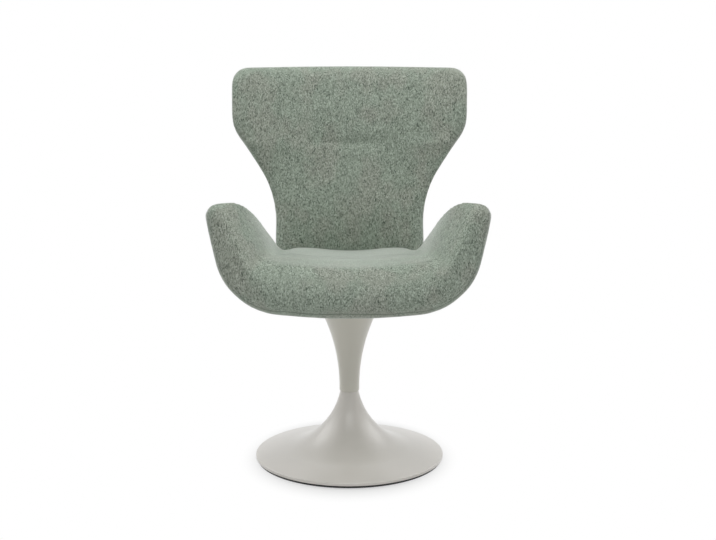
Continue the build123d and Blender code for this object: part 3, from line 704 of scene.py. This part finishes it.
def cover(name, nodes, padding, form, free):
    """A padded cover round CAD solids: grown, remeshed, formed, evened and swollen."""
    piece = joined_copy(name, nodes)
    modify(piece, "DISPLACE", strength=OVERLAP, mid_level=0.0)
    modify(piece, "REMESH", mode="VOXEL", voxel_size=padding.voxel, use_smooth_shade=True)
    keep_largest(piece)
    set_points(piece, form(piece))
    modify(piece, "SMOOTH", factor=0.5, iterations=3)
    settle(piece, padding, free(points_of(piece)))
    modify(piece, "SMOOTH", factor=0.5, iterations=2)
    modify(piece, "SUBSURF", levels=1, render_levels=1)
    return piece


def grain(piece):
    """Keep at each point how level the cloth lies."""
    keep(piece, LEVEL, evened(piece, fade(np.abs(normals_of(piece)[:, 2]), 0.55, 0.80), 6))


class CHAIR_OT_seat_cover(bpy.types.Operator):
    """Upholster the seat and arms in one piece of tweed"""

    bl_idname = "chair.seat_cover"
    bl_label = "Seat and Arms"

    def execute(self, context):
        chair = context.scene.chair
        soft = ("seat_cushion", "arm_pad_left", "arm_pad_right", "outer_pad")
        piece = cover(
            "seat_cover",
            (*soft, "seat_shell"),
            chair.padding,
            lambda piece: self.round_front(piece, chair.seat),
            self.free,
        )
        grain(piece)
        keep(piece, SEAM, evened(piece, self.seam(piece), 10))
        smooth(piece, 60)
        dress(piece, SWIVEL, "seat_fabric", tweed_finish("seat_tweed", chair.tweed), *soft)
        return {"FINISHED"}

    def round_front(self, piece, sizes):
        """Plump the front of the seat between the arms and round its roll over."""
        points = points_of(piece)
        x, y, z = points.T
        inside = 1 - fade(np.abs(x), ARM_START, ARM_FULL)
        top = fade(z, sizes.roll_crest - 0.06, sizes.roll_crest)
        z += sizes.roll_lift * inside * top * (1 - fade(y, sizes.roll_back, sizes.roll_end))
        radius = sizes.roll_round
        middle = seat_box[0].y + radius
        bow = BOW_RADIUS - np.sqrt(BOW_RADIUS**2 - np.minimum(np.abs(x), BOW_END) ** 2)
        near = (np.abs(y - middle) < 0.006) & (np.abs(x) < 0.1) & (z > sizes.roll_crest - 0.02)
        crest = np.median(z[near] - bow[near]) + bow
        # What stands out of a round of that radius under the crest is drawn onto it.
        before = y - middle
        over = z - (crest - radius)
        far = np.hypot(before, over)
        outer = (before < 0) & (over > 0) & (far > radius)
        pull = (radius / np.maximum(far, 1e-6) - 1) * inside * outer
        return np.stack((x, y + before * pull, z + over * pull), axis=1)

    def free(self, points):
        """The padding is held where the back leans on it and where the stem carries it."""
        x, y, z = points.T
        behind = fade(y, back_box[0].y - 0.035, back_box[0].y - 0.005)
        beside = fade(np.abs(x), 0.17, 0.20)
        carried = (1 - fade(np.hypot(x, y), 0.08, 0.12)) * (z < seat_box[0].z + 0.02)
        return (1 - behind * (1 - beside)) * (1 - carried)

    def seam(self, piece):
        """Distance to the seam between the sitter's side and the outer side."""
        x, y, z = points_of(piece).T
        normals = normals_of(piece)
        aside = np.maximum(np.abs(x) - BEND_X, 0)
        above = np.maximum(BEND_Z - z, 1e-4)
        angle = np.minimum(np.arctan2(aside, above), ARM_LEAN)
        inward = normals[:, 2] * np.cos(angle) - normals[:, 0] * np.sign(x) * np.sin(angle)
        away = 0.028 * (np.arcsin(np.clip(inward, -1, 1)) - asin(-0.70))
        # The seam runs out on the side of the seat, before the arm meets the back.
        return away + 0.05 * fade(y, 0.01, 0.10)


class CHAIR_OT_back_cover(bpy.types.Operator):
    """Upholster the winged back and sew its crease"""

    bl_idname = "chair.back_cover"
    bl_label = "Back"

    def execute(self, context):
        chair = context.scene.chair
        soft = ("back_pad", "back_rear_pad")
        piece = cover(
            "back_cover",
            ("back_pad", "back_shell", "back_rear_pad"),
            chair.padding,
            lambda piece: self.ease_front(piece, chair.back),
            self.free,
        )
        grain(piece)
        rearward = np.arcsin(np.clip(normals_of(piece)[:, 1], -1, 1))
        keep(piece, SEAM, evened(piece, 0.0225 * (rearward - asin(0.55)), 6))
        smooth(piece, 60)
        dress(piece, SWIVEL, "back_fabric", tweed_finish("back_tweed", chair.tweed), *soft)
        return {"FINISHED"}

    def ease_front(self, piece, sizes):
        """Fill the front out a little, let the crease run out sideways and bow the top edge."""
        x, y, z = points_of(piece).T
        front = fade(-normals_of(piece)[:, 1], 0.5, 0.8)
        above = z - sizes.crease_height
        reach = sizes.crease_reach
        middle = 1 - fade(np.abs(x), reach * CREASE_FULL, reach * CREASE_END)
        dip = np.cos(pi / 2 * np.minimum(np.abs(above) / CREASE_WIDTH, 1)) ** 2
        head = HEAD_BULGE * np.sin(pi * np.clip(above / HEAD_HEIGHT, 0, 1))
        waist = WAIST_BULGE * fade(-above, 0.0, 0.06) * (1 - fade(-above, 0.10, 0.25))
        filled = np.maximum(0.9 * fade(above, 0, CREASE_LIP), 1 - middle)
        y += front * (head + waist - sizes.crease_depth * dip * filled)
        z -= EDGE_BOW * fade(z, 0.80, cad_box[1].z) * (x / back_box[1].x) ** 2
        return np.stack((x, y, z), axis=1)

    def free(self, points):
        """The padding is held where it stands against the seat."""
        low = 1 - fade(points[:, 2], seat_box[1].z - 0.02, seat_box[1].z + 0.10)
        front = 1 - fade(points[:, 1], back_box[0].y + 0.03, back_box[0].y + 0.045)
        return 1 - low * front


# ---------------------------------------------------------------------------
# Pedestal
# ---------------------------------------------------------------------------


class CHAIR_OT_foot(bpy.types.Operator):
    """Turn the trumpet foot with its rolled rim"""

    bl_idname = "chair.foot"
    bl_label = "Trumpet Foot"

    def execute(self, context):
        chair = context.scene.chair
        sizes = chair.pedestal
        steep, shallow = radians(NECK_SLOPE), radians(RIM_SLOPE)
        # The neck's line and the rim's line meet at the corner that the flare rounds.
        run = (
            (sizes.foot_radius - sizes.neck_radius) * sin(shallow)
            - (sizes.neck_height - sizes.rim_top) * cos(shallow)
        ) / sin(shallow - steep)
        corner = Vector(
            (sizes.neck_radius + run * cos(steep), sizes.neck_height - run * sin(steep))
        )
        reach = sizes.flare_radius * tan((steep - shallow) / 2)
        centre = (
            corner.x - reach * cos(steep) + sizes.flare_radius * sin(steep),
            corner.y + reach * sin(steep) + sizes.flare_radius * cos(steep),
        )
        rim = (sizes.foot_radius - sizes.wall, sizes.rim_top - sizes.wall)
        outer = [
            (sizes.neck_radius, sizes.neck_height),
            *arc(centre, sizes.flare_radius, 270 - NECK_SLOPE, 270 - RIM_SLOPE, 40),
            *arc(rim, sizes.wall, 90 - RIM_SLOPE, 0, 6),
            (sizes.foot_radius, base_ring_box[1].z + sizes.shadow_gap),
        ]
        piece = turned("foot", outer, sizes.segments)
        modify(piece, "SOLIDIFY", thickness=sizes.wall, offset=-1)
        smooth(piece, 30)
        # The foot takes the lighter paint, painted light for the brighter light on the foot.
        finish = paint_finish("foot_paint", chair.paint.foot, chair.paint.gloss)
        dress(piece, PEDESTAL, "foot_paint", finish, "trumpet_foot")
        return {"FINISHED"}


class CHAIR_OT_stem(bpy.types.Operator):
    """Turn the flared upper stem that carries the seat"""

    bl_idname = "chair.stem"
    bl_label = "Upper Stem"

    def execute(self, context):
        chair = context.scene.chair
        sizes = chair.pedestal
        low, high = cone_box[0].z, cone_box[1].z
        bend = sizes.neck_height + sizes.straight
        turn = degrees(asin((high - bend) / sizes.cone_flare))
        centre = (sizes.neck_radius + sizes.cone_flare, bend)
        outer = [
            (sizes.neck_radius - sizes.edge, low),
            (sizes.neck_radius, low + sizes.edge),
            (sizes.neck_radius, low + 0.004),
            *arc(centre, sizes.cone_flare, 180, 180 - turn, 40),
        ]
        piece = turned("stem", outer, sizes.segments)
        modify(piece, "SOLIDIFY", thickness=sizes.wall, offset=-1)
        smooth(piece, 30)
        finish = paint_finish("stem_paint", chair.paint.stem, chair.paint.gloss)
        dress(piece, SWIVEL, "stem_paint", finish, "stem_cone")
        return {"FINISHED"}


class CHAIR_OT_inner(bpy.types.Operator):
    """Give the carried parts their metals and plastics"""

    bl_idname = "chair.inner"
    bl_label = "Rings and Inner Parts"

    def execute(self, context):
        chair = context.scene.chair
        finishes = {
            "dark_plastic": plain_finish("dark_ring", tuple(chair.paint.trim), 0.5),
            "cast_iron": plain_finish("cast_iron", (0.05, 0.05, 0.052), 0.75, 0.6, 300, 0.3, 2e-4),
            "steel": plain_finish("zinc_steel", (0.55, 0.55, 0.54), 0.38, 1.0, 700),
            "bearing_plastic": plain_finish("bearing_plastic", (0.62, 0.60, 0.55), 0.4),
            "bronze": plain_finish("bronze", (0.55, 0.33, 0.13), 0.35, 1.0),
            "shell_plastic": plain_finish("shell_plastic", (0.04, 0.04, 0.042), 0.6),
        }
        slots = {p["node"]: p["material_slot"] for p in frame["record"]["subparts"]}
        for node, piece in frame["nodes"].items():
            if slots[node] in finishes and not piece.hide_render:
                piece.data.materials.clear()
                piece.data.materials.append(finishes[slots[node]])
        return {"FINISHED"}


# ---------------------------------------------------------------------------
# Stage
# ---------------------------------------------------------------------------


class CHAIR_OT_stage(bpy.types.Operator):
    """Lay the floor, hang the lamps and set the camera"""

    bl_idname = "chair.stage"
    bl_label = "Studio"

    def execute(self, context):
        studio = context.scene.chair.studio
        scene = context.scene
        scene.view_settings.view_transform = "Standard"
        deselect()
        bpy.ops.mesh.primitive_plane_add(size=30, location=(0, 0, 0))
        floor = context.object
        floor.name = floor.data.name = "floor"
        floor.data.materials.append(self.floor_finish(studio))

        world = bpy.data.worlds.new("studio")
        scene.world = world
        world.use_nodes = True
        self.light_world(Graph(world.node_tree), studio.sky)

        self.lamp("top_lamp", (0.0, -0.3, 3.4), 1.2, studio.top_light)
        self.lamp("front_lamp", (0.0, -2.0, 3.0), 2.0, studio.front_light)
        for side, name in ((-1, "left"), (1, "right")):
            self.lamp(f"{name}_lamp", (side * 2.6, 0.0, 2.4), 1.6, studio.side_light)
            self.lamp(f"{name}_rear_lamp", (side * 2.4, 1.4, 2.0), 1.6, studio.rear_light)

        data = bpy.data.cameras.new("camera")
        data.lens = studio.lens
        data.sensor_width = 36
        camera = bpy.data.objects.new("camera", data)
        scene.collection.objects.link(camera)
        camera.location = (studio.aside, -studio.distance, studio.height)
        camera.rotation_euler = (pi / 2 - studio.dip, 0, 0)
        scene.camera = camera
        return {"FINISHED"}

    def light_world(self, graph, sky):
        """A white backdrop that lights the chair only as much as the even light should."""
        strength = graph.value(
            "ShaderNodeMapRange", {}, {"Value": graph.seen(), "To Min": sky, "To Max": 1.0}
        )
        background = graph.nodes["Background"]
        graph.join((1, 1, 1), background.inputs["Color"])
        graph.join(strength, background.inputs["Strength"])

    def floor_finish(self, studio):
        """A pale floor that turns plain white away from the chair."""
        finish = Finish("floor", Roughness=0.9, Specular_IOR_Level=0.1, Base_Color=studio.floor)
        away = finish.value(
            "ShaderNodeVectorMath",
            {"operation": "LENGTH"},
            {0: finish.place((1.2, 1.0, 1.0))},
            "Value",
        )
        glow = finish.node("ShaderNodeEmission", {}, {"Color": (1, 1, 1), "Strength": 1.0})
        mixed = finish.node(
            "ShaderNodeMixShader",
            {},
            {
                0: away.between(0.16, 0.32) * finish.seen(),
                1: finish.shader.outputs[0],
                2: glow.outputs[0],
            },
        )
        finish.join(mixed.outputs[0], finish.nodes["Material Output"].inputs["Surface"])
        return finish.material

    def lamp(self, name, place, size, power):
        """A square area lamp that looks at the middle of the chair."""
        data = bpy.data.lights.new(name, "AREA")
        data.size = size
        data.energy = power
        lamp = bpy.data.objects.new(name, data)
        bpy.context.scene.collection.objects.link(lamp)
        lamp.location = place
        aim = Vector((0, 0, cad_box[1].z / 2)) - Vector(place)
        lamp.rotation_euler = aim.to_track_quat("-Z", "Y").to_euler()


class CHAIR_PT_panel(bpy.types.Panel):
    """Buttons and settings of the chair"""

    bl_idname = "CHAIR_PT_panel"
    bl_label = "Swivel Armchair"
    bl_space_type = "VIEW_3D"
    bl_region_type = "UI"
    bl_category = "Armchair"

    def draw(self, context):
        chair = context.scene.chair
        for group in ("tweed", "paint", "padding", "seat", "back", "pedestal", "studio"):
            box = self.layout.box()
            box.label(text=group.title())
            settings = getattr(chair, group)
            for key in settings.__annotations__:
                box.prop(settings, key)
        for operator in OPERATORS:
            self.layout.operator(operator.bl_idname)


OPERATORS = (
    CHAIR_OT_foot,
    CHAIR_OT_stem,
    CHAIR_OT_seat_cover,
    CHAIR_OT_back_cover,
    CHAIR_OT_inner,
    CHAIR_OT_stage,
)
CLASSES = (
    ChairTweedSettings,
    ChairPaintSettings,
    ChairPaddingSettings,
    ChairSeatSettings,
    ChairBackSettings,
    ChairPedestalSettings,
    ChairStudioSettings,
    ChairSettings,
    *OPERATORS,
    CHAIR_PT_panel,
)


def register():
    """Add the classes and the settings."""
    for each in CLASSES:
        bpy.utils.register_class(each)
    bpy.types.Scene.chair = PointerProperty(type=ChairSettings)


def unregister():
    """Take them away again."""
    del bpy.types.Scene.chair
    for each in reversed(CLASSES):
        bpy.utils.unregister_class(each)


def main():
    """Build every piece."""
    register()
    bpy.ops.chair.foot()
    bpy.ops.chair.stem()
    bpy.ops.chair.seat_cover()
    bpy.ops.chair.back_cover()
    bpy.ops.chair.inner()
    bpy.ops.chair.stage()


if __name__ == "__main__":
    main()
